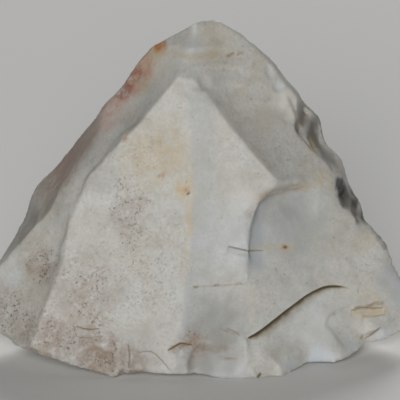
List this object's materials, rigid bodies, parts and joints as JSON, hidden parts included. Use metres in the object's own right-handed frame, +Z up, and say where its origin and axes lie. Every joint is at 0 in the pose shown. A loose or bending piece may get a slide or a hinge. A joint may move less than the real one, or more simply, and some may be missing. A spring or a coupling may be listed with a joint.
{
  "type": "flint core",
  "caption": "Knapped flint core: a chunky pyramid of white-patinated flint with flake scars on every side, standing on its flat striking platform.",
  "frame": {"origin": "centre of the part's box in plan, on the surface that the core stands on", "axes": "+Z up from the striking platform to the peak, +X to the right along the width as seen from the front, -Y towards the front with its two broad flake scars"},
  "size_m": [0.0732, 0.0382, 0.057],
  "materials": {
    "flint": "old knapped flint under a smooth white-grey patina, with cream, rust and purple-brown stains and a few small fresh dark breaks"
  },
  "bodies": {
    "root": {"flint_core": "flint"}
  },
  "joints": []
}
